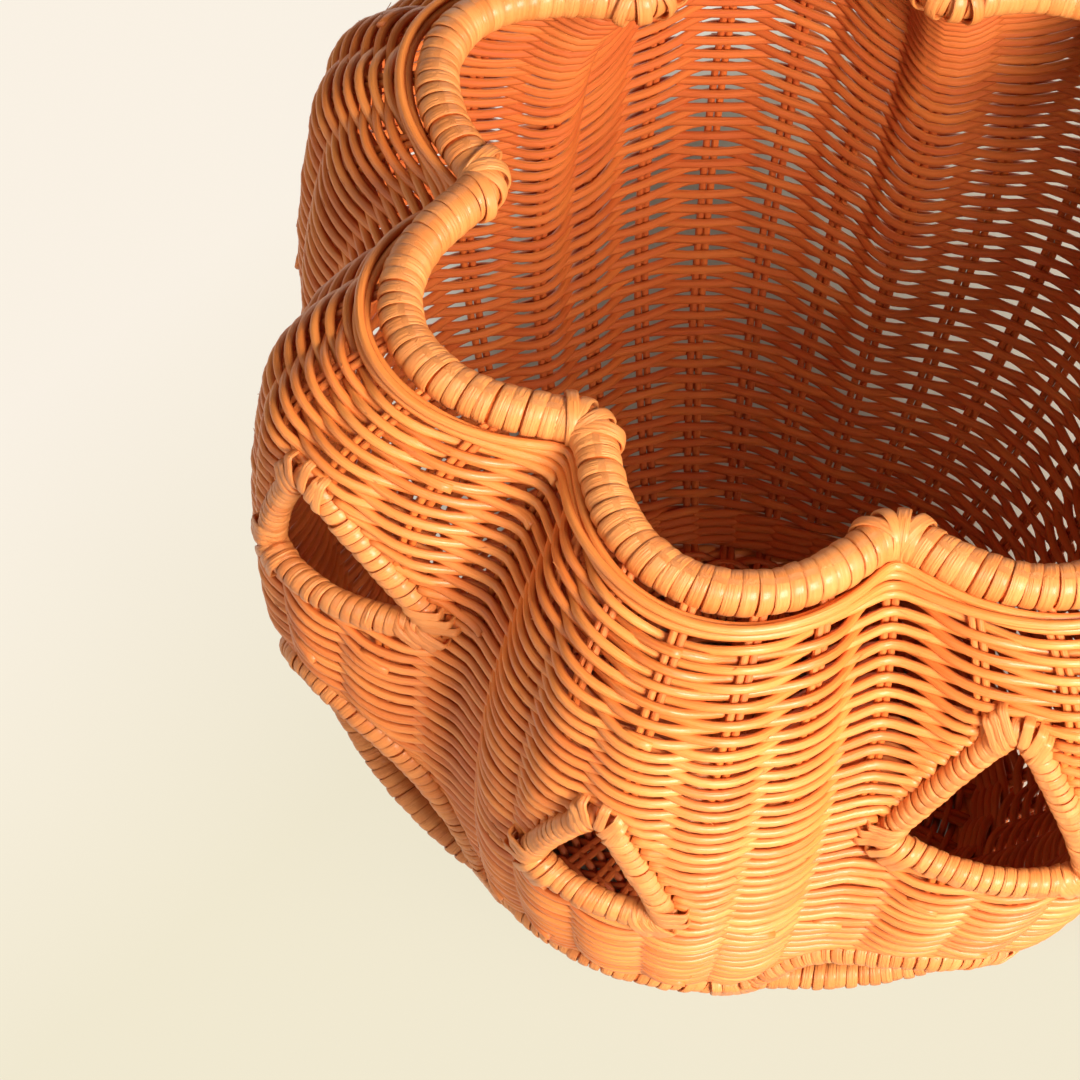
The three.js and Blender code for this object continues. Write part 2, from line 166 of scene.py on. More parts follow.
def ribbonSection(width, thickness):
    across = np.array([-0.5, -0.44, -0.25, 0, 0.25, 0.44, 0.5, 0.4, 0, -0.4])
    proud = np.array([0.1, 0.32, 0.47, 0.52, 0.47, 0.32, 0.1, -0.5, -0.5, -0.5])
    return np.stack([across * width, proud * thickness], 1)[::-1]


def sweep(store, path, out, section, tone, isLoop=False):
    count, size = len(path), section.shape[-2]
    if isLoop:
        ahead = np.roll(path, -1, 0) - np.roll(path, 1, 0)
    else:
        ahead = np.gradient(path, axis=0)
    ahead = unit(ahead)
    across = unit(np.cross(ahead, out))
    face = np.cross(across, ahead)
    rings = path[:, None] + section[..., 0:1] * across[:, None] + section[..., 1:2] * face[:, None]
    store["points"].append(rings.reshape(-1, 3))
    store["tone"].append(np.repeat(np.broadcast_to(tone, count), size))
    # On the wall's strands the side that faces into the basket is marked for painted shade.
    facing = section[..., 1] / np.abs(section[..., 1]).max()
    shade = smoothStep(facing, *innerSide["turnOver"]) if store["isWall"] else 1.0
    store["shade"].append(np.broadcast_to(shade, (count, size)).ravel())
    lengths = np.concatenate([[0], np.cumsum(np.linalg.norm(np.diff(path, axis=0), axis=1))])
    lengths = lengths + 0.31 * float(store["count"] % 977)     # so that no two strands share their fibres
    spans = count if isLoop else count - 1
    step = lengths[1] - lengths[0]
    i, j = np.meshgrid(np.arange(spans), np.arange(size), indexing="ij")
    i, j = i.ravel(), j.ravel()
    nextI, nextJ = (i + 1) % count, (j + 1) % size
    quads = np.stack([i * size + j, nextI * size + j, nextI * size + nextJ, i * size + nextJ], 1)
    u = np.stack([lengths[i], lengths[i] + step, lengths[i] + step, lengths[i]], 1)
    v = np.stack([j, j, j + 1, j + 1], 1) / size
    start = store["count"]
    store["faces"].append(quads + start)
    store["grain"].append(np.stack([u.ravel(), v.ravel()], 1))
    if not isLoop:
        store["caps"].append(start + np.arange(size))
        store["caps"].append(start + (count - 1) * size + np.arange(size)[::-1])
    store["count"] += count * size


# Makes one mesh object of a store, with its UV map along the strands, and each point's tone and shade.
def pieceOf(name, store, material, nodes):
    points = np.concatenate(store["points"])
    quads = np.concatenate(store["faces"])
    caps = store["caps"]
    mesh = bpy.data.meshes.new(name)
    mesh.vertices.add(len(points))
    mesh.vertices.foreach_set("co", points.astype(np.float32).ravel())
    capLoops = np.concatenate(caps) if caps else np.zeros(0, int)
    capSizes = [len(cap) for cap in caps]
    mesh.loops.add(quads.size + len(capLoops))
    mesh.loops.foreach_set("vertex_index", np.concatenate([quads.ravel(), capLoops]).astype(np.int32))
    sizes = np.array([4] * len(quads) + capSizes)
    starts = np.concatenate([[0], np.cumsum(sizes)[:-1]])
    mesh.polygons.add(len(sizes))
    mesh.polygons.foreach_set("loop_start", starts.astype(np.int32))
    grain = np.concatenate([*store["grain"], np.zeros((len(capLoops), 2))])
    mesh.uv_layers.new(name="grain").data.foreach_set("uv", grain.astype(np.float32).ravel())
    for key in ("tone", "shade"):
        values = np.concatenate(store[key]).astype(np.float32)
        mesh.attributes.new(key, "FLOAT", "POINT").data.foreach_set("value", values)
    mesh.update(calc_edges=True)
    mesh.validate()
    mesh.polygons.foreach_set("use_smooth", np.ones(len(mesh.polygons), bool))
    piece = bpy.data.objects.new(name, mesh)
    bpy.context.collection.objects.link(piece)
    mesh.materials.append(material)
    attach(piece, "root")
    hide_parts(*nodes)
    triangles = 2 * len(quads) + sum(size - 2 for size in capSizes)
    print(name, "has", triangles, "triangles")
    return piece


grainLook = {
    "stretch": (45, 13, 1),        # how often the fibres change along a strand, in a metre, and round it
    "detail": 4,
    "roughness": 0.65,
    "apart": 60,                   # how far apart the fibres of two tones are
    "blotches": 55,                # how often they change in a metre
    "blotchDetail": 2,
    "fibres": (2.4, -0.7),         # the noise times the first, plus the second
    "patches": (1.6, -0.3),
    "toneShare": 0.5,
    "fibreShare": 0.45,
    "patchShare": 0.22,
    "fibreGloss": 0.16,
    "bump": 0.6,
    "coatRoughness": 0.22,
}


# The output of a math node that takes numbers or other nodes' outputs.
def mathOf(tree, operation, *values):
    node = tree.nodes.new("ShaderNodeMath")
    node.operation = operation
    for i, value in enumerate(values):
        if isinstance(value, (int, float)):
            node.inputs[i].default_value = value
        else:
            tree.links.new(value, node.inputs[i])
    return node.outputs[0]


# The cane's fibres, blotches, painted shade on the wall's inner side, and gloss, for every material here.
def caneGrainGroup():
    group = bpy.data.node_groups.new("caneGrain", "ShaderNodeTree")
    sockets = {
        "INPUT": {"Light": "Color", "Dark": "Color", "Gloss": "Float", "Coat": "Float"},
        "OUTPUT": {"Color": "Color", "Roughness": "Float", "Height": "Float", "Coat": "Float"},
    }
    for way, named in sockets.items():
        for name, kind in named.items():
            group.interface.new_socket(name, in_out=way, socket_type="NodeSocket" + kind)
    nodes, links = group.nodes, group.links
    given = nodes.new("NodeGroupInput")
    wanted = nodes.new("NodeGroupOutput")
    grain = nodes.new("ShaderNodeUVMap")
    grain.uv_map = "grain"
    tone = nodes.new("ShaderNodeAttribute")
    tone.attribute_name = "tone"
    shade = nodes.new("ShaderNodeAttribute")
    shade.attribute_name = "shade"
    stretch = nodes.new("ShaderNodeMapping")
    stretch.inputs["Scale"].default_value = grainLook["stretch"]
    links.new(grain.outputs["UV"], stretch.inputs["Vector"])
    fibres = nodes.new("ShaderNodeTexNoise")
    fibres.noise_dimensions = "4D"
    fibres.inputs["Scale"].default_value = 1
    fibres.inputs["Detail"].default_value = grainLook["detail"]
    fibres.inputs["Roughness"].default_value = grainLook["roughness"]
    links.new(stretch.outputs["Vector"], fibres.inputs["Vector"])
    links.new(mathOf(group, "MULTIPLY", tone.outputs["Fac"], grainLook["apart"]), fibres.inputs["W"])
    place = nodes.new("ShaderNodeTexCoord")
    blotches = nodes.new("ShaderNodeTexNoise")
    blotches.inputs["Scale"].default_value = grainLook["blotches"]
    blotches.inputs["Detail"].default_value = grainLook["blotchDetail"]
    links.new(place.outputs["Object"], blotches.inputs["Vector"])
    fibre = mathOf(group, "MULTIPLY_ADD", fibres.outputs["Fac"], *grainLook["fibres"])
    patch = mathOf(group, "MULTIPLY_ADD", blotches.outputs["Fac"], *grainLook["patches"])

    share = mathOf(group, "ADD",
                   mathOf(group, "MULTIPLY", tone.outputs["Fac"], grainLook["toneShare"]),
                   mathOf(group, "MULTIPLY", fibre, grainLook["fibreShare"]))
    share = mathOf(group, "ADD", share, mathOf(group, "MULTIPLY", patch, grainLook["patchShare"]))
    blend = nodes.new("ShaderNodeMix")
    blend.data_type = "RGBA"
    blend.clamp_factor = True
    links.new(share, blend.inputs["Factor"])
    links.new(given.outputs["Dark"], blend.inputs["A"])
    links.new(given.outputs["Light"], blend.inputs["B"])
    # Painted shade: on the inner side of the wall's strands the colour is multiplied down.
    paintedShade = nodes.new("ShaderNodeMix")
    paintedShade.data_type = "RGBA"
    paintedShade.inputs["A"].default_value = (*innerSide["paintedShade"], 1)
    paintedShade.inputs["B"].default_value = (1, 1, 1, 1)
    links.new(shade.outputs["Fac"], paintedShade.inputs["Factor"])
    darkened = nodes.new("ShaderNodeMix")
    darkened.data_type = "RGBA"
    darkened.blend_type = "MULTIPLY"
    darkened.inputs["Factor"].default_value = 1
    links.new(blend.outputs["Result"], darkened.inputs["A"])
    links.new(paintedShade.outputs["Result"], darkened.inputs["B"])
    links.new(darkened.outputs["Result"], wanted.inputs["Color"])

    rough = mathOf(group, "ADD", given.outputs["Gloss"],
                   mathOf(group, "MULTIPLY", fibre, grainLook["fibreGloss"]))
    dull = mathOf(group, "MULTIPLY_ADD", shade.outputs["Fac"], -innerSide["dulling"], innerSide["dulling"])
    links.new(mathOf(group, "ADD", rough, dull), wanted.inputs["Roughness"])
    coat = mathOf(group, "MULTIPLY", given.outputs["Coat"], shade.outputs["Fac"])
    links.new(coat, wanted.inputs["Coat"])
    links.new(fibre, wanted.inputs["Height"])
    return group


caneGrain = caneGrainGroup()


def caneMaterial(name, light, dark, gloss, coat, relief=0.0004):
    material = bpy.data.materials.new(name)
    material.use_nodes = True
    nodes, links = material.node_tree.nodes, material.node_tree.links
    shader = nodes["Principled BSDF"]
    grain = nodes.new("ShaderNodeGroup")
    grain.node_tree = caneGrain
    grain.inputs["Light"].default_value = (*light, 1)
    grain.inputs["Dark"].default_value = (*dark, 1)
    grain.inputs["Gloss"].default_value = gloss
    grain.inputs["Coat"].default_value = coat
    bump = nodes.new("ShaderNodeBump")
    bump.inputs["Strength"].default_value = grainLook["bump"]
    bump.inputs["Distance"].default_value = relief
    links.new(grain.outputs["Color"], shader.inputs["Base Color"])
    links.new(grain.outputs["Roughness"], shader.inputs["Roughness"])
    links.new(grain.outputs["Height"], bump.inputs["Height"])
    links.new(bump.outputs["Normal"], shader.inputs["Normal"])
    links.new(grain.outputs["Coat"], shader.inputs["Coat Weight"])
    shader.inputs["Coat Roughness"].default_value = grainLook["coatRoughness"]
    return material


# Each has its light and dark colours, roughness and coat.
wrappedCane = caneMaterial("wrappedCane", (0.90, 0.33, 0.085), (0.66, 0.155, 0.020), 0.41, 0.22,
                           relief=0.0007)
wovenCane = caneMaterial("wovenCane", (0.93, 0.315, 0.065), (0.66, 0.108, 0.008), 0.38, 0.3)
stakeCane = caneMaterial("stakeCane", (0.90, 0.275, 0.045), (0.62, 0.105, 0.008), 0.42, 0.15)
coreCane = caneMaterial("coreCane", (0.82, 0.23, 0.035), (0.55, 0.09, 0.006), 0.5, 0.0)
# The base's cane is coloured darker than the wall's as painted shade for the inside of the basket, in place
# of the wall's inner-side painted shade.
baseCanePaintedShade = caneMaterial("baseCanePaintedShade", (0.56, 0.12, 0.014), (0.36, 0.04, 0.002), 0.5, 0.0)
print("the canes are stained")

# The face's openings, as corners on the wall: a turn, and a drop as a share of the wall's height.
face = {
    "leftEye": {"apex": (-45.7, 0.135), "right": (-28.8, 0.284), "left": (-51.5, 0.336)},
    "rightEye": {"apex": (37.9, 0.112), "right": (50.5, 0.412), "left": (27.3, 0.378)},
    "nose": {"apex": (-2.6, 0.264), "right": (6.7, 0.47), "left": (-11.2, 0.472)},
    "mouth": {
        "tips": ((-57, 0.66), (-22, 0.81), (17, 0.805), (53.5, 0.745)),
        "archTops": (0.515, 0.745, 0.645),
        "tipWidth": 0.0067,
        "tipDepth": 0.007,
        "lowerRight": (62, 0.97),
        "lowerLeft": (-60, 0.93),
    },
    "cornerCut": 0.007,
    "sideBulge": 0.0013,
    "step": 0.001,          # between two points of an outline
    "nearBy": 0.03,         # how far from an opening its distance still matters
}
turnLength = math.radians(1) * wall["bellyLobe"]


def flat(corner):
    return np.array([corner[0] * turnLength, corner[1] * wall["height"]])


def bezier(controls, steps):
    t = np.linspace(0, 1, steps, endpoint=False)[:, None]
    points = [np.tile(control, (steps, 1)) for control in controls]
    while len(points) > 1:
        points = [a * (1 - t) + b * t for a, b in zip(points, points[1:])]
    return points[0]


def triangleOutline(corners):
    points = [flat(corners[key]) for key in ("left", "apex", "right")]
    stretches = []
    for i in range(3):
        corner, following, after = points[i], points[(i + 1) % 3], points[(i + 2) % 3]
        way, turned = unit(following - corner), unit(after - following)
        start = corner + way * face["cornerCut"]
        end = following - way * face["cornerCut"]
        swell = (start + end) / 2 + 2 * face["sideBulge"] * np.array([way[1], -way[0]])
        stretches.append(bezier([start, swell, end], 24))
        stretches.append(bezier([end, following, following + turned * face["cornerCut"]], 12))
    return np.concatenate(stretches)


def mouthOutline():
    mouth = face["mouth"]
    tips = [flat(tip) for tip in mouth["tips"]]
    side, rise = np.array([mouth["tipWidth"], 0]), np.array([0, mouth["tipDepth"]])
    lowerStart, lowerEnd = tips[-1] + rise, tips[0] + rise
    stretches = []
    for i in range(3):
        start, end = tips[i] + side - rise, tips[i + 1] - side - rise
        lift = (8 * mouth["archTops"][i] * wall["height"] - start[1] - end[1]) / 6
        lean = (end[0] - start[0]) / 12
        stretches.append(bezier([start, np.array([start[0] + lean, lift]),
                                 np.array([end[0] - lean, lift]), end], 48))
        beyond = lowerStart if i == 2 else tips[i + 1] + side - rise
        stretches.append(bezier([end, tips[i + 1], beyond], 12))
    lowerLip = [lowerStart, flat(mouth["lowerRight"]), flat(mouth["lowerLeft"]), lowerEnd]
    stretches.append(bezier(lowerLip, 96))
    stretches.append(bezier([lowerEnd, tips[0], tips[0] + side - rise], 12))
    return np.concatenate(stretches)


# Spreads a closed path's points evenly.
def evenLoop(points, spacing):
    closed = np.concatenate([points, points[:1]])
    lengths = np.concatenate([[0], np.cumsum(np.linalg.norm(np.diff(closed, axis=0), axis=1))])
    count = max(8, round(lengths[-1] / spacing))
    wanted = np.linspace(0, lengths[-1], count, endpoint=False)
    return np.stack([np.interp(wanted, lengths, closed[:, k]) for k in range(closed.shape[1])], 1)


def opening(name, outline):
    outline = evenLoop(outline, face["step"])
    turns, drops = outline[:, 0] / turnLength, outline[:, 1]
    path, out = underWall(turns, drops, wall["middle"])
    return {"name": name, "outline": outline, "path": path, "out": out}


openings = [
    opening("left_eye", triangleOutline(face["leftEye"])),
    opening("right_eye", triangleOutline(face["rightEye"])),
    opening("nose", triangleOutline(face["nose"])),
    opening("mouth", mouthOutline()),
]
print("the face is laid out")


# How far points are outside an opening's edging, in metres, and below zero inside it.
def clearOf(hole, turns, drops, points):
    gaps = np.full(len(points), 1.0)
    low, high = hole["path"].min(0) - face["nearBy"], hole["path"].max(0) + face["nearBy"]
    near = np.flatnonzero(((points > low) & (points < high)).all(1))
    for part in np.array_split(near, max(1, len(near) // 2000)):
        if len(part):
            apart = points[part][:, None] - hole["path"][None]
            gaps[part] = np.sqrt((apart ** 2).sum(-1)).min(1)
            x, y = (turns[part] * turnLength)[:, None], drops[part][:, None]
            start, end = hole["outline"], np.roll(hole["outline"], -1, 0)
            crosses = (start[:, 0] > x) != (end[:, 0] > x)
            run = np.where(start[:, 0] == end[:, 0], 1e-9, end[:, 0] - start[:, 0])
            level = start[:, 1] + (x - start[:, 0]) / run * (end[:, 1] - start[:, 1])
            inside = (crosses & (level > y)).sum(1) % 2 == 1
            gaps[part] = np.where(inside, -gaps[part], gaps[part])
    return gaps


# Cuts a strand where it is nearer than a limit to an opening, and gives the places of what is left of it.
def keptRuns(gaps, limit):
    kept = np.flatnonzero(gaps > limit)
    runs = np.split(kept, np.flatnonzero(np.diff(kept) > 1) + 1)
    return [run for run in runs if len(run) > 3]


# A slow, even wobble round the basket.
def wobble(turns, size, waves=(2, 5, 9, 17)):
    phases = dice.uniform(0, 2 * np.pi, len(waves))
    sizes = size * dice.uniform(0.4, 1, len(waves)) / len(waves)
    return sum(s * np.sin(np.radians(turns) * w + p) for s, w, p in zip(sizes, waves, phases))


weave = {
    "pitch": 0.00241,
    "radius": 0.00136,
    "lumps": 0.08,         # how much thicker and thinner a weaver gets, as a share
    "sides": 9,
    "samples": 8,          # points between two stakes
    "reach": 0.00225,      # how far a weaver swings to either side of the stakes
    "snap": 0.6,           # how flat a weaver lies over a stake
    "reachChange": 0.3,
    "looseness": 0.0007,
    "start": 0.0136,       # run of the first weaver
    "end": 0.0193,         # run left at the wall's foot
    "pieces": 6,
    "edge": 0.0024,        # how near a weaver comes to the middle of an opening's rod
    "calm": (0.0026, 0.011),    # metres from an opening, from no swing at all to all of it
    "overlap": 0.24,       # how far a weaver's two ends pass each other, in stakes
    "endLift": 0.0012,     # how far out of the wall and down it the upper end lies
    "endDrop": 0.0006,
}
whiskers = {
    "spacing": 0.09,
    "radius": 0.00011,
    "length": (0.0015, 0.0045),
    "bow": (0.02, 0.12),        # these are shares of the length
    "aside": 0.6,
    "ahead": (0.6, 0.95),
    "off": (0.05, 0.35),
}


def swing(turns, snap):
    wave = np.cos(np.pi * turns / stakePitch)
    return np.tanh(snap * wave) / math.tanh(snap)


# Fine splinters that stand off a strand.
def addWhiskers(store, path, out):
    length = np.linalg.norm(np.diff(path, axis=0), axis=1).sum()
    for _ in range(dice.poisson(length / whiskers["spacing"])):
        i = int(dice.integers(1, len(path) - 1))
        ahead = unit(path[i + 1] - path[i - 1]) * dice.choice([-1.0, 1.0])
        length = dice.uniform(*whiskers["length"])
        root = path[i] + out[i] * weave["radius"] * 0.8
        bend = root + ahead * length * 0.5 + out[i] * length * dice.uniform(*whiskers["bow"])
        aside = np.cross(ahead, out[i]) * dice.uniform(-whiskers["aside"], whiskers["aside"])
        onward = ahead * dice.uniform(*whiskers["ahead"]) + out[i] * dice.uniform(*whiskers["off"])
        tip = root + (onward + aside) * length
        hair = bezier([root, bend, tip], 7)
        sweep(store, hair, np.tile(out[i], (len(hair), 1)), roundSection(whiskers["radius"], 4), 1.0)


def sideWeave():
    rows = round((valleyRun - weave["start"] - weave["end"]) / weave["pitch"])
    perPiece = math.ceil(rows / weave["pieces"])
    overlap = weave["overlap"]
    steps = np.arange(-overlap, stakeCount + overlap + 1e-6, 1 / weave["samples"])
    ending = smoothStep(steps, stakeCount - 0.5, stakeCount + overlap)
    store = newStore(isWall=True)
    for row in range(rows):
        side = 1 if row % 2 else -1
        splice = 2 * int(dice.integers(stakeCount // 2)) + (0 if side > 0 else 1)
        turns = (steps + splice) * stakePitch
        run = weave["start"] + (row + 0.5) * weave["pitch"]
        run = run + wobble(turns, weave["looseness"], (2, 5, 9, 17, 31))
        drops = dropAt(turns, (run + weave["endDrop"] * ending) / valleyRun)
        points, out = underWall(turns, drops, wall["middle"])
        signed = (turns + 180) % 360 - 180
        gaps = np.stack([clearOf(hole, signed, drops, points) for hole in openings])
        nearest = gaps[np.abs(gaps).argmin(0), np.arange(len(turns))]
        calm = smoothStep(nearest, *weave["calm"])
        strength = weave["reach"] * (1 + wobble(turns, weave["reachChange"])) * calm
        away = side * swing(turns, weave["snap"]) * strength + weave["endLift"] * ending
        path = points + away[:, None] * out
        thickness = 1 + wobble(turns, weave["lumps"], (11, 29, 53, 97))
        section = roundSection(weave["radius"], weave["sides"]) * thickness[:, None, None]
        for kept in keptRuns(nearest, weave["edge"]):
            sweep(store, path[kept], out[kept], section[kept], dice.uniform(0.1, 1))
            addWhiskers(store, path[kept], out[kept])
        if row % perPiece == perPiece - 1 or row == rows - 1:
            number = row // perPiece + 1
            pieceOf(f"side_weave_{number}", store, wovenCane, ["side_weave"])
            store = newStore(isWall=True)
    print("the side is woven in", rows, "rows")


sideWeave()

stakes = {
    "radius": 0.00115,
    "apart": 0.00122,      # from the pair's middle
    "looseness": 0.0004,
    "sides": 8,
    "shares": (0.004, 0.97),    # of the way down the wall, at the top and where the foot's bend begins
    "samples": 110,
    "edge": 0.0022,
    "baseHeight": 0.0105,
    "baseRadius": 0.048,
    "turnIn": 0.006,
    "bend": 0.012,
}


# Each pair stands in the wall and turns in over the base. What stands above an opening goes with its rod.
def standingStakes():
    section = roundSection(stakes["radius"], stakes["sides"])
    upper = {hole["name"]: newStore(isWall=True) for hole in openings}
    shares = np.linspace(*stakes["shares"], stakes["samples"])
    for number in range(stakeCount):
        store = newStore(isWall=True)
        middleTurn = number * stakePitch
        signed = (middleTurn + 180) % 360 - 180
        outward = around(1.0, middleTurn, 0) - axisPoint
        for side in (-1, 1):
            drops = dropAt(middleTurn, shares)
            points, out = underWall(middleTurn, drops, wall["middle"])
            along = wallDirections(middleTurn, drops)[0]
            lean = side * (stakes["apart"] + wobble(shares * 360, stakes["looseness"], (1, 2, 3)))
            points = points + lean[:, None] * along
            turns = np.full(len(drops), signed)
            gaps = np.stack([clearOf(hole, turns, drops, points) for hole in openings])
            runs = keptRuns(gaps.min(0), stakes["edge"])
            tone = dice.uniform(0.1, 1)
            for kept in runs[:-1]:
                under = openings[int(np.abs(gaps[:, kept[-1]]).argmin())]
                sweep(upper[under["name"]], points[kept], out[kept], section, tone)
            kept = runs[-1]
            last = points[kept[-1]]
            aside = along[-1] * side * stakes["apart"]
            inner = around(stakes["baseRadius"], middleTurn, stakes["baseHeight"]) + aside
            corner = np.array([last[0], last[1], stakes["baseHeight"]]) - stakes["turnIn"] * outward
            turnIn = bezier([last, corner, corner - stakes["bend"] * outward], 8)
            level = np.linspace(corner - stakes["bend"] * outward, inner, 6)
            path = np.concatenate([points[kept][:-1], turnIn, level])
            under = np.array([0, 0, -1.0])
            bendOut = np.linspace(out[kept[-1]], under, len(turnIn))
            levelOut = np.tile(under, (len(level), 1))
            sweep(store, path, np.concatenate([out[kept][:-1], bendOut, levelOut]), section, tone)
        name = f"stake_{number + 1:02d}"
        pieceOf(f"{name}_pair", store, stakeCane, [name])
    return upper


upperStakes = standingStakes()
print("the stakes stand")

# By hand no two turns of a ribbon are alike, so each has its own place, width and lift, as shares of a turn,
# of the ribbon's width and of its thickness, and its own tilt.
uneven = {"place": 0.09, "width": (0.85, 1.02), "lift": (-0.15, 0.35), "tilt": 0.14}


# Winds a ribbon round a closed path. The turns lie closer where the path bends.
def wind(store, path, out, radius, width, thickness, crowding, samples):
    lengths = np.linalg.norm(np.roll(path, -1, 0) - path, axis=1)
    ahead = unit(np.roll(path, -1, 0) - np.roll(path, 1, 0))
    bend = np.linalg.norm(np.roll(ahead, -1, 0) - np.roll(ahead, 1, 0), axis=1)
    bend = bend / (lengths + np.roll(lengths, 1))
    bend = np.convolve(np.concatenate([bend[-2:], bend, bend[:2]]), np.ones(5) / 5, "valid")
    density = (1 + crowding * bend * radius) / width
    turnsDone = np.concatenate([[0], np.cumsum(lengths * density)])
    windings = round(turnsDone[-1])
    turnsDone = turnsDone * windings / turnsDone[-1]
    wanted = np.arange(windings * samples) / samples

    def perTurn(low, high):
        values = dice.uniform(low, high, windings)
        closed = np.concatenate([values[-1:], values, values[:1]])
        return np.interp(wanted, np.arange(-1, windings + 1) + 0.5, closed)

    slip = perTurn(-uneven["place"], uneven["place"])
    places = np.interp((wanted + slip) % windings, turnsDone, np.arange(len(path) + 1))

    def along(values):
        closed = np.concatenate([values, values[:1]])
        return np.stack([np.interp(places, np.arange(len(closed)), closed[:, k]) for k in range(3)], 1)

    centre, facing, heading = along(path), along(out), unit(along(ahead))
    facing = unit(facing - (facing * heading).sum(1, keepdims=True) * heading)
    across = np.cross(heading, facing)
    angle = 2 * np.pi * wanted
    low, high = uneven["lift"]
    lift = perTurn(low * thickness, high * thickness)
    spoke = -np.cos(angle)[:, None] * facing + np.sin(angle)[:, None] * across
    tones = dice.uniform(0.15, 1, windings + 1)
    tone = tones[(wanted + 0.5).astype(int) % windings]
    helix = centre + (radius + lift)[:, None] * spoke
    tilt = perTurn(-uneven["tilt"], uneven["tilt"])[:, None]
    flatSection = ribbonSection(width, thickness)[None]
    x, y = flatSection[..., 0] * perTurn(*uneven["width"])[:, None], flatSection[..., 1]
    section = np.stack([x * np.cos(tilt) - y * np.sin(tilt), x * np.sin(tilt) + y * np.cos(tilt)], -1)
    sweep(store, helix, spoke, section, tone, isLoop=True)


rim = {
    "radius": 0.0060,
    "ribbonWidth": 0.0045,
    "ribbonThickness": 0.0010,
    "coreRadius": 0.0052,
    "crowding": 0.9,
    "step": 0.0008,
    "samples": 20,         # points in a turn of the ribbon
    "valleyLoops": 4,
    "loopSpacing": 0.0034,
    "loopFan": 17,         # degrees from one loop to the next
    "loopShift": 0.0009,   # how far the loops stand inward, and a tenth of it upward
    "loopProud": (0.0001, 0.0008),
    "loopWidth": (0.75, 0.95),
    "loopUneven": {"place": 0.2, "turn": 7, "slope": 0.16},
}


# At each valley a few wraps lie over the others, fanned out, and stand proud on the inner side.
def valleyLoops(store, path):
    turnsOfPath = np.degrees(np.arctan2(path[:, 0] - axisPoint[0], axisPoint[1] - path[:, 1]))
    step = np.linalg.norm(path[1] - path[0])
    angles = np.linspace(0, 2 * np.pi, 28, endpoint=False)

    def chance(key):
        return dice.uniform(-rim["loopUneven"][key], rim["loopUneven"][key])

    for valley in range(wall["lobes"]):
        turn = (valley + 0.5) * 360 / wall["lobes"]
        place = int(np.abs((turnsOfPath - turn + 180) % 360 - 180).argmin())
        inward = unit(axisPoint[:2] - path[place, :2])
        for k in range(rim["valleyLoops"]):
            fromMiddle = k - (rim["valleyLoops"] - 1) / 2
            shift = (fromMiddle + chance("place")) * rim["loopSpacing"]
            i = (place + round(shift / step)) % len(path)
            heading = unit(path[(i + 4) % len(path)] - path[i - 4])
            fan = math.radians(fromMiddle * rim["loopFan"] + chance("turn"))
            slope = chance("slope")
            level = np.array([-heading[1], heading[0], 0])
            across = level * math.cos(fan) + heading * math.sin(fan)
            upward = unit(np.array([0, 0, 1.0]) + slope * heading)
            radius = rim["radius"] + dice.uniform(*rim["loopProud"])
            centre = path[i] + np.array([*inward, 0.1]) * rim["loopShift"]
            up, side = np.cos(angles)[:, None] * upward, np.sin(angles)[:, None] * across
            width = rim["ribbonWidth"] * dice.uniform(*rim["loopWidth"])
            ribbon = ribbonSection(width, rim["ribbonThickness"])
            sweep(store, centre + radius * (up + side / math.cos(fan)), up + side, ribbon,
                  dice.uniform(0.2, 1), isLoop=True)


def rimPieces():
    turns = np.linspace(0, 360, 1400, endpoint=False)
    path, _ = underWall(turns, 0, wall["middle"])
    path = evenLoop(path, rim["step"])
    out = np.tile([0, 0, 1.0], (len(path), 1))
    core = newStore()
    sweep(core, path, out, roundSection(rim["coreRadius"], 12), 0.5, isLoop=True)
    pieceOf("rim_hoop", core, coreCane, ["rim_core"])
    store = newStore()
    winding = rim["radius"] - rim["ribbonThickness"] / 2
    wind(store, path, out, winding, rim["ribbonWidth"], rim["ribbonThickness"],
         rim["crowding"], rim["samples"])
    valleyLoops(store, path)
    pieceOf("rim_wrap", store, wrappedCane, ["rim_binding"])


rimPieces()
print("the rim is wrapped")

edging = {
    "radius": 0.0040,
    "rodRadius": 0.0032,
    "ribbonWidth": 0.0034,
    "ribbonThickness": 0.0009,
    "crowding": 0.8,
    "step": 0.0008,
    "samples": 16,         # points in a turn of the ribbon
}

# At its corners an edging is tied down by wraps that reach out over the rows beside it and tuck in.
ties = {
    "width": 0.0030,
    "thickness": 0.0009,
    "reach": (0.0018, 0.0048),
    "spacing": 0.0034,
    "perCorner": 6,
    "lean": 8,             # degrees to either side
    "bisector": 0.6,       # how much a tie follows the corner's middle line, as a share
}


# Rounds the corners of an open path.
def rounded(points):
    for _ in range(2):
        early = points[:-1] * 0.75 + points[1:] * 0.25
        late = points[:-1] * 0.25 + points[1:] * 0.75
        inner = np.stack([early, late], 1).reshape(-1, points.shape[1])
        points = np.concatenate([points[:1], inner, points[-1:]])
    return points


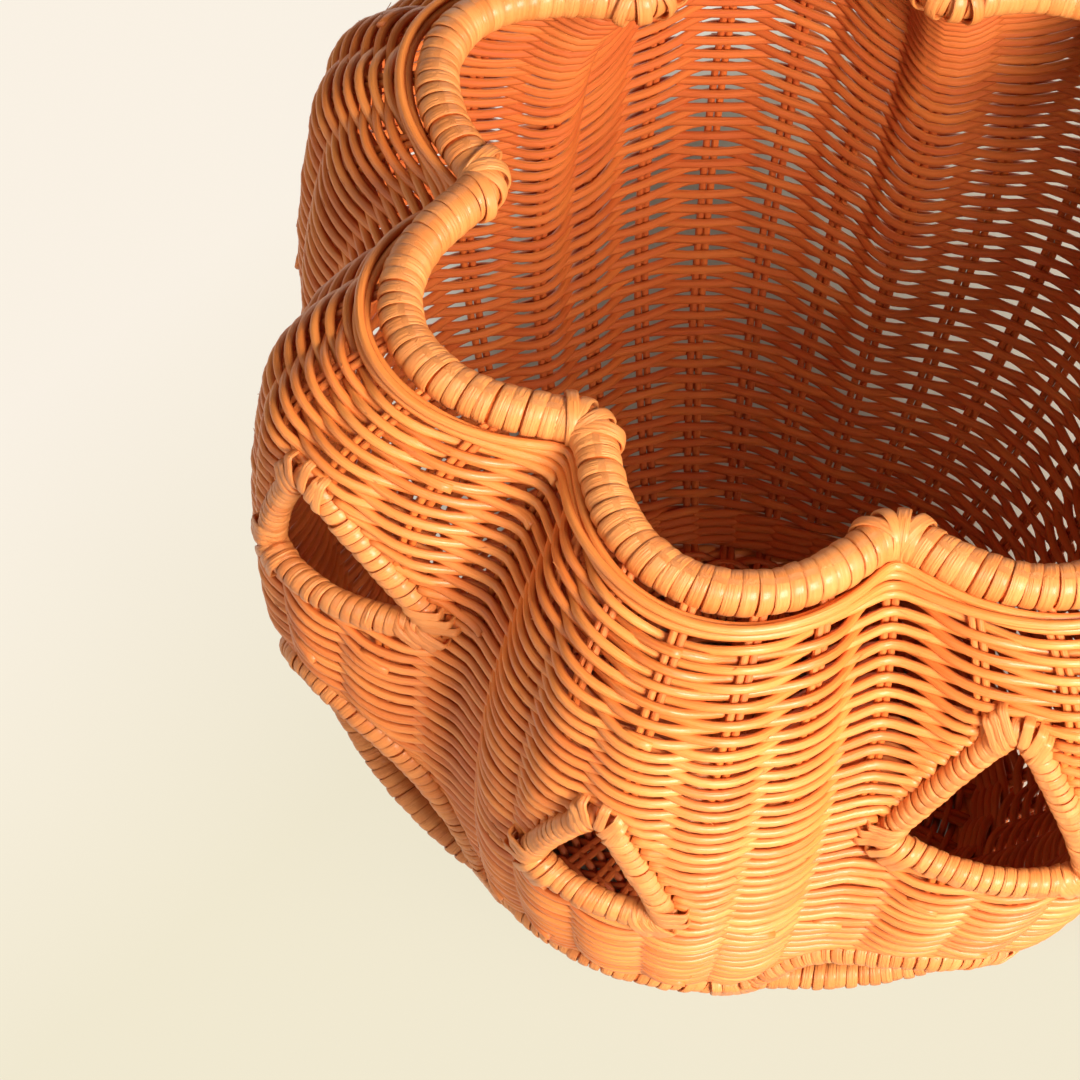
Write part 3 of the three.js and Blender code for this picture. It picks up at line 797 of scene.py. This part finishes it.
# Each tie's profile goes from the opening over the edging, level with the weave, and down between its rows.
def addTies(store, hole, corner):
    outline = hole["outline"]
    step = np.linalg.norm(outline[1] - outline[0])
    place = int(np.linalg.norm(outline - corner, axis=1).argmin())
    following = np.roll(outline, -1, 0)
    way = np.sign((outline[:, 0] * following[:, 1] - outline[:, 1] * following[:, 0]).sum())
    r = edging["radius"]

    def awayAt(i):
        ahead = unit(outline[(i + 3) % len(outline)] - outline[(i - 3) % len(outline)])
        return way * np.array([ahead[1], -ahead[0]])

    bisector = unit(awayAt(place + 11) + awayAt(place - 11))
    proud = weave["reach"] + weave["radius"] + ties["thickness"] * 0.5
    for k in range(ties["perCorner"]):
        fromMiddle = k - (ties["perCorner"] - 1) / 2
        i = (place + round(fromMiddle * ties["spacing"] / step)) % len(outline)
        away = unit(ties["bisector"] * bisector + (1 - ties["bisector"]) * awayAt(i))
        lean = math.radians(dice.uniform(-1, 1) * ties["lean"])
        away = np.array([away[0] * math.cos(lean) - away[1] * math.sin(lean),
                         away[0] * math.sin(lean) + away[1] * math.cos(lean)])
        reach = dice.uniform(*ties["reach"])
        profile = np.array([
            [-0.3 * r, -0.95 * r], [-0.95 * r, -0.4 * r], [-0.95 * r, 0.4 * r], [-0.5 * r, 1.0 * r],
            [0.3 * r, 1.12 * r], [r, max(proud, 0.9 * r)], [r + 0.5 * reach, proud],
            [r + 0.85 * reach, proud - 0.0004], [r + reach, 0.0016], [r + reach + 0.0006, -0.0012],
        ])
        profile = rounded(profile)
        flatPlaces = outline[i] + profile[:, :1] * away
        path, out = underWall(flatPlaces[:, 0] / turnLength, flatPlaces[:, 1],
                              wall["middle"] - profile[:, 1])
        along = unit(np.gradient(path, axis=0))
        aside = unit(np.cross(along[len(along) // 2], out[len(out) // 2]))
        ribbon = ribbonSection(ties["width"], ties["thickness"])
        sweep(store, path, unit(np.cross(aside, along)), ribbon, dice.uniform(0.2, 1))


cornersOf = {
    "left_eye": [flat(corner) for corner in face["leftEye"].values()],
    "right_eye": [flat(corner) for corner in face["rightEye"].values()],
    "nose": [flat(corner) for corner in face["nose"].values()],
    "mouth": [flat(corner) for corner in face["mouth"]["tips"]],
}


def faceEdgings():
    for hole in openings:
        path = evenLoop(hole["path"], edging["step"])
        places = np.linspace(0, len(hole["path"]), len(path), endpoint=False).astype(int)
        out = hole["out"][places]
        store = upperStakes[hole["name"]]
        sweep(store, path, out, roundSection(edging["rodRadius"], 10), 0.3, isLoop=True)
        pieceOf(hole["name"] + "_hoop", store, coreCane, [hole["name"] + "_rod"])
        store = newStore()
        winding = edging["radius"] - edging["ribbonThickness"] / 2
        wind(store, path, out, winding, edging["ribbonWidth"], edging["ribbonThickness"],
             edging["crowding"], edging["samples"])
        for corner in cornersOf[hole["name"]]:
            addTies(store, hole, corner)
        pieceOf(hole["name"] + "_wrap", store, wrappedCane, [hole["name"] + "_binding"])


faceEdgings()
print("the face is edged")

waling = {
    "topRuns": (0.0073, 0.0099, 0.0125),
    "topRadius": 0.00138,
    "topLift": 0.0021,
    "topLooseness": 0.0009,
    "crossingHeight": 0.0021,
    "underDip": 0.0003,
    "crossingSharpness": 3,
    "upsetRows": 4,
    "upsetStart": 0.0088,      # run left under the lowest row
    "upsetPitch": 0.0025,
    "upsetRadius": 0.0014,
    "upsetReach": 0.0029,
    "upsetDepth": 0.0002,
    "upsetRise": 0.0011,
}


# Under the rim three strands lie side by side, and at each valley they change places: the lowest crosses
# over the other two. They are one long strand that goes round three times.
def topWaling():
    lobePitch = 360 / wall["lobes"]
    turns = np.arange(0, 3 * 360, stakePitch / 12)
    lobe = turns / lobePitch
    place = lobe - np.round(lobe)
    stair = np.round(lobe) + 0.5 * np.sign(place) * np.abs(2 * place) ** waling["crossingSharpness"] + 0.5
    level, part = np.floor(stair).astype(int), stair % 1
    runs = np.array(waling["topRuns"])
    run = runs[level % 3] * (1 - part) + runs[(level + 1) % 3] * part
    isCrossing = level % 3 == 2
    hump = 4 * part * (1 - part) * np.where(isCrossing, waling["crossingHeight"], -waling["underDip"])
    run = run + wobble(turns / 3, waling["topLooseness"], (4, 9, 14, 25, 41))
    drops = dropAt(turns, run / valleyRun)
    points, out = underWall(turns, drops, wall["middle"])
    path = points + (waling["topLift"] + hump)[:, None] * out
    store = newStore(isWall=True)
    sweep(store, path, out, roundSection(waling["topRadius"], 9), 0.7, isLoop=True)
    pieceOf("top_waling_strands", store, wovenCane, ["top_waling"])


# Where the stakes turn up, rows of three rods are twisted round them.
def upsetWaling():
    turns = np.arange(stakeCount * 12) * stakePitch / 12
    section = roundSection(waling["upsetRadius"], 7)
    store = newStore(isWall=True)
    for row in range(waling["upsetRows"]):
        run = valleyRun - waling["upsetStart"] - (row + 0.5) * waling["upsetPitch"]
        points, out = underWall(turns, dropAt(turns, run / valleyRun), wall["middle"])
        for rod in range(3):
            phase = 2 * np.pi * (turns / stakePitch / 3 + rod / 3)
            path = points + (waling["upsetReach"] * np.cos(phase) - waling["upsetDepth"])[:, None] * out
            path[:, 2] += waling["upsetRise"] * np.sin(phase)
            sweep(store, path, out, section, dice.uniform(0.2, 0.9), isLoop=True)
    pieceOf("upset_waling_strands", store, wovenCane, ["upset_waling"])


topWaling()
upsetWaling()
print("the walings are on")

foot = {"strands": 4, "strandRadius": 0.0023, "twists": 42}


# The rolled ring that the basket stands on.
def footRoll():
    turns = np.linspace(0, 360, 420, endpoint=False)
    middle = (footHigh.z - footLow.z) / 2
    ringRadius = (footHigh.x - footLow.x) / 2 - middle
    reach = middle - foot["strandRadius"]
    section = roundSection(foot["strandRadius"], 8)
    out = around(1.0, turns, 0) - axisPoint
    store = newStore()
    for strand in range(foot["strands"]):
        phase = np.radians(turns * foot["twists"] / foot["strands"]) + 2 * np.pi * strand / foot["strands"]
        path = around(ringRadius + reach * np.cos(phase), turns, middle + reach * np.sin(phase))
        sweep(store, path, out, section, dice.uniform(0.2, 0.9), isLoop=True)
    pieceOf("foot_roll", store, wovenCane, ["foot_border"])


base = {
    "roundRadius": 0.00115,
    "firstRound": 0.0165,
    "roundPitch": 0.0024,
    "depth": 0.0002,        # of the rounds' middle under the solid's top
    "reach": 0.0017,
    "snap": 1.4,
    "looseness": 0.0003,
    "innerSpokes": 16,      # ends of the crossed sticks, which the rounds near the middle go over and under
    "innerEdge": 0.044,
    "stickCount": 4,
    "stickRadius": 0.0024,
    "stickPitch": 0.0048,
    "stickHeight": 0.005,   # at which a stick is round
}


def baseRounds():
    low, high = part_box("base_weave")
    outer = (high.x - low.x) / 2 + base["roundPitch"]
    section = roundSection(base["roundRadius"], 7)
    store = newStore()
    for number, radius in enumerate(np.arange(base["firstRound"], outer, base["roundPitch"])):
        spokes = base["innerSpokes"] if radius < base["innerEdge"] else stakeCount
        turns = np.arange(spokes * 10) * 36 / spokes
        side = 1 if number % 2 else -1
        wave = np.tanh(base["snap"] * np.cos(np.radians(turns) * spokes / 2)) / math.tanh(base["snap"])
        height = high.z - base["depth"] + side * base["reach"] * wave
        path = around(radius + wobble(turns, base["looseness"]), turns, height)
        out = np.tile([0, 0, 1.0], (len(path), 1))
        sweep(store, path, out, section, dice.uniform(0.1, 0.9), isLoop=True)
    pieceOf("base_rounds", store, baseCanePaintedShade, ["base_weave"])


# Two groups of sticks cross at the centre, and the solids' boxes give their lengths and heights.
def baseSticks():
    for node in ("base_spokes_slit", "base_spokes_through"):
        low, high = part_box(node)
        size = high - low
        isAcross = size.x > size.y
        squash = np.array([1, size.z / base["stickHeight"]])
        section = roundSection(base["stickRadius"], 10) * squash
        t = np.linspace(-1, 1, 9)
        store = newStore()
        for i in range(base["stickCount"]):
            aside = np.full(len(t), (i - (base["stickCount"] - 1) / 2) * base["stickPitch"])
            ahead = t * 0.5 * (size.x if isAcross else size.y)
            height = np.full(len(t), (low.z + high.z) / 2)
            path = np.stack([ahead, aside, height] if isAcross else [aside, ahead, height], 1)
            path[:, :2] += axisPoint[:2]
            out = np.tile([0, 0, 1.0], (len(path), 1))
            sweep(store, path, out, section, dice.uniform(0.1, 0.9))
        pieceOf(node + "_sticks", store, baseCanePaintedShade, [node])


footRoll()
baseRounds()
baseSticks()
print("the foot and base are on")

# The floor is seen as a pale cream, and takes the basket's shadow only faintly, but in full close to it.
stageColors = {
    "far": (0.995, 0.92, 0.81),
    "near": (0.885, 0.822, 0.640),
    "lit": (0.50, 0.46, 0.38),     # of the part that takes the lamps' light
    "shadowShare": 0.05,
    "fadeWay": (-1, 0.4, 0),
    "fade": (0.08, 0.26),      # metres that way, from the near colour to the far one
    # Each shaded place has a middle, and the metres from it between which the full shadow fades.
    "shaded": (((0.03, 0.16, 0), (0.14, 0.20)), ((0, 0.006, 0), (0.062, 0.074))),
}


def pastelFloor():
    bpy.ops.mesh.primitive_plane_add(size=12, location=(0, 0, 0))
    floor = bpy.context.object
    floor.name = "floor"
    material = bpy.data.materials.new("floorPaper")
    material.use_nodes = True
    tree = material.node_tree
    nodes, links = tree.nodes, tree.links
    shader = nodes["Principled BSDF"]
    shader.inputs["Base Color"].default_value = (*stageColors["lit"], 1)
    shader.inputs["Roughness"].default_value = 1
    shader.inputs["Specular IOR Level"].default_value = 0
    glow = nodes.new("ShaderNodeEmission")
    place = nodes.new("ShaderNodeTexCoord")
    way = nodes.new("ShaderNodeVectorMath")
    way.operation = "DOT_PRODUCT"
    way.inputs[1].default_value = stageColors["fadeWay"]
    links.new(place.outputs["Object"], way.inputs[0])
    fade = nodes.new("ShaderNodeMapRange")
    fade.inputs["From Min"].default_value, fade.inputs["From Max"].default_value = stageColors["fade"]
    links.new(way.outputs["Value"], fade.inputs["Value"])
    tint = nodes.new("ShaderNodeMix")
    tint.data_type = "RGBA"
    links.new(fade.outputs["Result"], tint.inputs["Factor"])
    tint.inputs["A"].default_value = (*stageColors["near"], 1)
    tint.inputs["B"].default_value = (*stageColors["far"], 1)
    links.new(tint.outputs["Result"], glow.inputs["Color"])

    rays = nodes.new("ShaderNodeLightPath")
    seen = mathOf(tree, "MAXIMUM", rays.outputs["Is Camera Ray"], rays.outputs["Is Transmission Ray"])
    seen = mathOf(tree, "MAXIMUM", seen, rays.outputs["Is Glossy Ray"])
    share = mathOf(tree, "MULTIPLY", seen, 1 - stageColors["shadowShare"])
    for middle, reach in stageColors["shaded"]:
        away = nodes.new("ShaderNodeVectorMath")
        away.operation = "DISTANCE"
        away.inputs[1].default_value = middle
        links.new(place.outputs["Object"], away.inputs[0])
        clear = nodes.new("ShaderNodeMapRange")
        clear.interpolation_type = "SMOOTHSTEP"
        clear.inputs["From Min"].default_value, clear.inputs["From Max"].default_value = reach
        links.new(away.outputs["Value"], clear.inputs["Value"])
        share = mathOf(tree, "MULTIPLY", share, clear.outputs["Result"])
    blend = nodes.new("ShaderNodeMixShader")
    links.new(share, blend.inputs["Fac"])
    links.new(shader.outputs["BSDF"], blend.inputs[1])
    links.new(glow.outputs["Emission"], blend.inputs[2])
    links.new(blend.outputs["Shader"], nodes["Material Output"].inputs["Surface"])
    floor.data.materials.append(material)


pastelFloor()

lamps = {
    "key": {"toward": (0.72, -0.62, 0.66), "distance": 1.6, "size": 0.7, "power": 60,
            "color": (1.0, 0.97, 0.92)},
    "fill": {"toward": (-0.7, -0.6, 0.45), "distance": 1.8, "size": 1.6, "power": 9,
             "color": (1.0, 0.97, 0.93)},
    "back": {"toward": (-0.35, 0.92, 0.22), "distance": 1.8, "size": 1.4, "power": 8,
             "color": (1.0, 0.97, 0.92)},
}
lampAim = 0.15      # height of the place that the lamps face
surroundings = {"color": (1.0, 0.88, 0.72), "strength": 0.07}


def lights():
    target = Vector(axisPoint) + Vector((0, 0, lampAim))
    for name, lamp in lamps.items():
        toward = Vector(lamp["toward"]).normalized()
        data = bpy.data.lights.new(name, "AREA")
        data.size = lamp["size"]
        data.energy = lamp["power"]
        data.color = lamp["color"]
        light = bpy.data.objects.new(name, data)
        bpy.context.collection.objects.link(light)
        light.location = target + toward * lamp["distance"]
        light.rotation_euler = (-toward).to_track_quat("-Z", "Y").to_euler()
    world = bpy.data.worlds.new("studio")
    world.use_nodes = True
    bpy.context.scene.world = world
    background = world.node_tree.nodes["Background"]
    background.inputs["Color"].default_value = (*surroundings["color"], 1)
    background.inputs["Strength"].default_value = surroundings["strength"]


lights()

# The camera stands at a distance from a point on the basket's axis, and is then turned off it to frame it.
camera = {
    "aim": 0.2625,          # height of that point
    "distance": 1.6594,
    "azimuth": 7.575,
    "elevation": 48.749,
    "yaw": 2.078,
    "pitch": -3.658,
    "roll": -13.243,
    "focal": 208.1,
}


def cameraView():
    azimuth, elevation = math.radians(camera["azimuth"]), math.radians(camera["elevation"])
    level = Vector((math.sin(azimuth), -math.cos(azimuth), 0))
    back = level * math.cos(elevation) + Vector((0, 0, math.sin(elevation)))
    ahead = -back
    right = ahead.cross(Vector((0, 0, 1))).normalized()
    up = right.cross(ahead)
    turn = Matrix.Rotation(math.radians(camera["yaw"]), 3, up)
    ahead, right = turn @ ahead, turn @ right
    turn = Matrix.Rotation(math.radians(camera["pitch"]), 3, right)
    ahead, up = turn @ ahead, turn @ up
    turn = Matrix.Rotation(math.radians(camera["roll"]), 3, ahead)
    right, up = turn @ right, turn @ up
    data = bpy.data.cameras.new("camera")
    data.sensor_width = 36
    data.lens = camera["focal"]
    view = bpy.data.objects.new("camera", data)
    bpy.context.collection.objects.link(view)
    place = Vector(axisPoint) + Vector((0, 0, camera["aim"])) + back * camera["distance"]
    turned = Matrix((right, up, -ahead)).transposed().to_4x4()
    view.matrix_world = Matrix.Translation(place) @ turned
    bpy.context.scene.camera = view


cameraView()
bpy.context.scene.view_settings.view_transform = "Standard"
print("the camera and lights are set")
